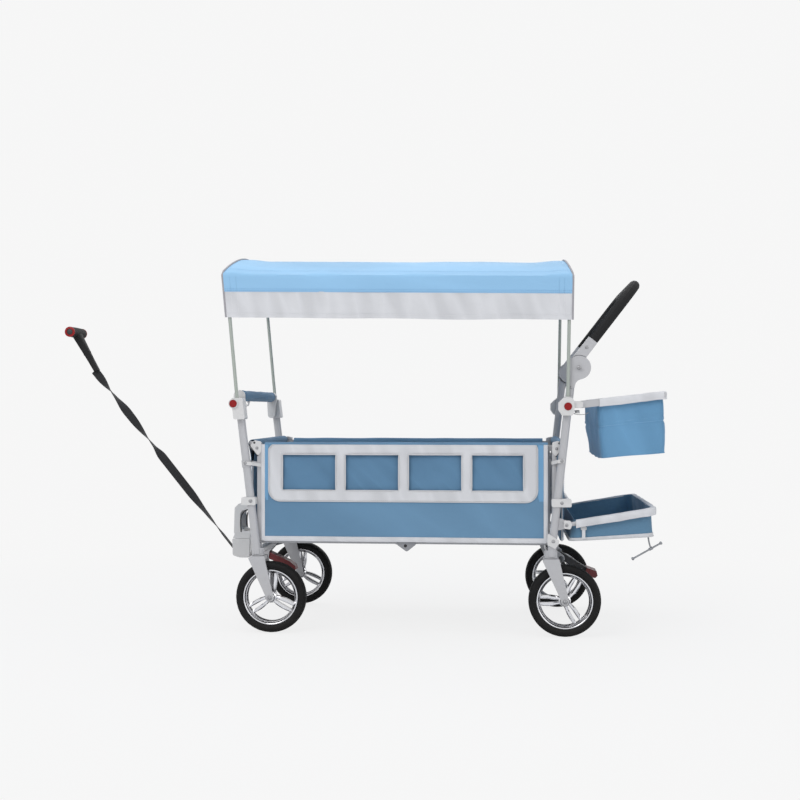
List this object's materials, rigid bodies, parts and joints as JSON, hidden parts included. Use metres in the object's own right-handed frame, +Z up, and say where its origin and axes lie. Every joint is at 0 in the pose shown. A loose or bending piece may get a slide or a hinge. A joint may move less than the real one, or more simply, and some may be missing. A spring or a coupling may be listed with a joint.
{
  "type": "stroller wagon",
  "caption": "Folding child wagon with a canopy on poles, fabric tub, chrome spoked wheels, push handle, rear pouch and tray, and a pull strap",
  "frame": {"origin": "on the ground under the middle of the whole length, pull handle included, on the mid plane", "axes": "+X to the push handle, +Y to the far side, +Z up"},
  "size_m": [1.7717, 0.601, 1.0795],
  "materials": {
    "white_paint": "satin white powder coat",
    "white_plastic": "matte white moulding",
    "grey_plastic": "matte board",
    "blue_cloth": "woven polyester",
    "pale_cloth": "coated woven polyester",
    "black_foam": "foam grip",
    "black_webbing": "woven webbing",
    "rubber": "moulded rubber",
    "chrome": "bright plated",
    "pole_steel": "grey green coat",
    "red_plastic": "glossy red moulding"
  },
  "bodies": {
    "rear_frame": {"upright_rear_near": "white_paint", "upright_rear_far": "white_paint", "fork_rear_near": "white_paint", "fork_rear_far": "white_paint", "low_bar_rear": "white_paint", "mid_bar_rear": "white_plastic", "end_frame_rear": "white_paint", "end_wall_rear": "blue_cloth", "socket_rear_near": "white_plastic", "socket_rear_far": "white_plastic", "side_panel_near": "blue_cloth", "side_panel_far": "blue_cloth"},
    "front_frame": {"upright_front_near": "white_paint", "upright_front_far": "white_paint", "low_bar_front": "white_paint", "mid_bar_front": "white_plastic", "end_frame_front": "white_paint", "end_wall_front": "blue_cloth", "socket_front_near": "white_plastic", "socket_front_far": "white_plastic", "tow_housing": "white_plastic"},
    "floor_rear": {"lower_rail_rear_near": "white_paint", "lower_rail_rear_far": "white_paint", "floor_board_rear": "grey_plastic"},
    "floor_front": {"lower_rail_front_near": "white_paint", "lower_rail_front_far": "white_paint", "floor_board_front": "grey_plastic"},
    "rails_rear": {"upper_rail_rear_near": "white_paint", "upper_rail_rear_far": "white_paint"},
    "rails_front": {"upper_rail_front_near": "white_paint", "upper_rail_front_far": "white_paint"},
    "canopy_front": {"hoop_front": "pole_steel"},
    "canopy_rear": {"hoop_rear": "pole_steel", "canopy_cover": "pale_cloth"},
    "push_handle": {"handlebar": "white_paint", "handle_grip": "black_foam"},
    "front_grip": {"grip_bar": "white_plastic", "grip_sleeve": "blue_cloth"},
    "pouch": {"pouch_frame": "white_paint", "pouch_bag": "blue_cloth"},
    "tray": {"tray_frame": "white_paint", "tray_basket": "blue_cloth"},
    "pull": {"pull_strap": "black_webbing", "pull_handle": "black_foam"},
    "brake": {"brake_pedal": "red_plastic"},
    "swivel_lock": {"swivel_lock_pedal": "red_plastic"},
    "caster_near": {"fork_front_near": "white_paint"},
    "wheel_front_near": {"tyre_front_near": "rubber", "rim_front_near": "chrome"},
    "release_front_near": {"button_front_near": "red_plastic"},
    "wheel_rear_near": {"tyre_rear_near": "rubber", "rim_rear_near": "chrome"},
    "release_rear_near": {"button_rear_near": "red_plastic"},
    "caster_far": {"fork_front_far": "white_paint"},
    "wheel_front_far": {"tyre_front_far": "rubber", "rim_front_far": "chrome"},
    "release_front_far": {"button_front_far": "red_plastic"},
    "wheel_rear_far": {"tyre_rear_far": "rubber", "rim_rear_far": "chrome"},
    "release_rear_far": {"button_rear_far": "red_plastic"}
  },
  "joints": [
    {"name": "fold", "type": "hinge", "parent": "rear_frame", "child": "floor_rear", "pos_m": [0.5838, 0, 0.258], "axis": [0, 1, 0], "range_deg": [0, 72], "deforming": ["side_panel_near", "side_panel_far", "canopy_cover"]},
    {"name": "floor_centre_fold", "type": "hinge", "parent": "floor_rear", "child": "floor_front", "pos_m": [0.1698, 0, 0.244], "axis": [0, 1, 0], "range_deg": [-144, 0]},
    {"name": "front_frame_fold", "type": "hinge", "parent": "floor_front", "child": "front_frame", "pos_m": [-0.2442, 0, 0.258], "axis": [0, 1, 0], "range_deg": [0, 72]},
    {"name": "rails_rear_fold", "type": "hinge", "parent": "rear_frame", "child": "rails_rear", "pos_m": [0.5838, 0, 0.52], "axis": [0, 1, 0], "range_deg": [0, 72]},
    {"name": "rails_centre_fold", "type": "hinge", "parent": "rails_rear", "child": "rails_front", "pos_m": [0.1698, 0, 0.506], "axis": [0, 1, 0], "range_deg": [-144, 0]},
    {"name": "canopy_rear_lift", "type": "slide", "parent": "rear_frame", "child": "canopy_rear", "axis": [0.018, 0, 0.9998], "range_m": [0, 0.02], "deforming": ["canopy_cover"]},
    {"name": "canopy_front_lift", "type": "slide", "parent": "front_frame", "child": "canopy_front", "axis": [-0.0926, 0, 0.9957], "range_m": [0, 0.02], "deforming": ["canopy_cover"]},
    {"name": "push_handle_tilt", "type": "hinge", "parent": "rear_frame", "child": "push_handle", "pos_m": [0.6508, 0, 0.743], "axis": [0, 1, 0], "range_deg": [-22, 55]},
    {"name": "front_grip_swing", "type": "hinge", "parent": "front_frame", "child": "front_grip", "pos_m": [-0.3052, 0, 0.611], "axis": [0, 1, 0], "range_deg": [-90, 0]},
    {"name": "pouch_lift", "type": "hinge", "parent": "rear_frame", "child": "pouch", "pos_m": [0.6528, 0, 0.641], "axis": [0, 1, 0], "range_deg": [-40, 0]},
    {"name": "tray_lift", "type": "hinge", "parent": "rear_frame", "child": "tray", "pos_m": [0.6163, 0, 0.3103], "axis": [0, 1, 0], "range_deg": [-35, 0]},
    {"name": "pull_strap_swing", "type": "hinge", "parent": "front_frame", "child": "pull", "pos_m": [-0.3662, 0, 0.196], "axis": [0, 1, 0], "range_deg": [-60, 25]},
    {"name": "brake_press", "type": "hinge", "parent": "rear_frame", "child": "brake", "pos_m": [0.6098, 0, 0.196], "axis": [0, 1, 0], "range_deg": [0, 14]},
    {"name": "swivel_lock_press", "type": "hinge", "parent": "front_frame", "child": "swivel_lock", "pos_m": [-0.2702, 0, 0.19], "axis": [0, 1, 0], "range_deg": [0, 12]},
    {"name": "caster_swivel_near", "type": "hinge", "parent": "front_frame", "child": "caster_near", "pos_m": [-0.2472, -0.254, 0.216], "axis": [0, 0, 1], "continuous": true},
    {"name": "wheel_spin_front_near", "type": "hinge", "parent": "caster_near", "child": "wheel_front_near", "pos_m": [-0.2092, -0.254, 0.1], "axis": [0, 1, 0], "continuous": true},
    {"name": "wheel_spin_rear_near", "type": "hinge", "parent": "rear_frame", "child": "wheel_rear_near", "pos_m": [0.6118, -0.254, 0.1], "axis": [0, 1, 0], "continuous": true},
    {"name": "release_front_near_press", "type": "slide", "parent": "front_frame", "child": "release_front_near", "axis": [0, 1, 0], "range_m": [0, 0.0035], "stiffness_N_per_m": 600},
    {"name": "release_rear_near_press", "type": "slide", "parent": "rear_frame", "child": "release_rear_near", "axis": [0, 1, 0], "range_m": [0, 0.0035], "stiffness_N_per_m": 600},
    {"name": "caster_swivel_far", "type": "hinge", "parent": "front_frame", "child": "caster_far", "pos_m": [-0.2472, 0.254, 0.216], "axis": [0, 0, 1], "continuous": true},
    {"name": "wheel_spin_front_far", "type": "hinge", "parent": "caster_far", "child": "wheel_front_far", "pos_m": [-0.2092, 0.254, 0.1], "axis": [0, 1, 0], "continuous": true},
    {"name": "wheel_spin_rear_far", "type": "hinge", "parent": "rear_frame", "child": "wheel_rear_far", "pos_m": [0.6118, 0.254, 0.1], "axis": [0, 1, 0], "continuous": true},
    {"name": "release_front_far_press", "type": "slide", "parent": "front_frame", "child": "release_front_far", "axis": [0, -1, 0], "range_m": [0, 0.0035], "stiffness_N_per_m": 600},
    {"name": "release_rear_far_press", "type": "slide", "parent": "rear_frame", "child": "release_rear_far", "axis": [0, -1, 0], "range_m": [0, 0.0035], "stiffness_N_per_m": 600}
  ],
  "couplings": [
    {"joint": "floor_centre_fold", "follows": "fold", "ratio": -2},
    {"joint": "front_frame_fold", "follows": "fold", "ratio": 1},
    {"joint": "rails_rear_fold", "follows": "fold", "ratio": 1},
    {"joint": "rails_centre_fold", "follows": "fold", "ratio": -2},
    {"joint": "canopy_front_lift", "follows": "canopy_rear_lift", "ratio": 1}
  ]
}
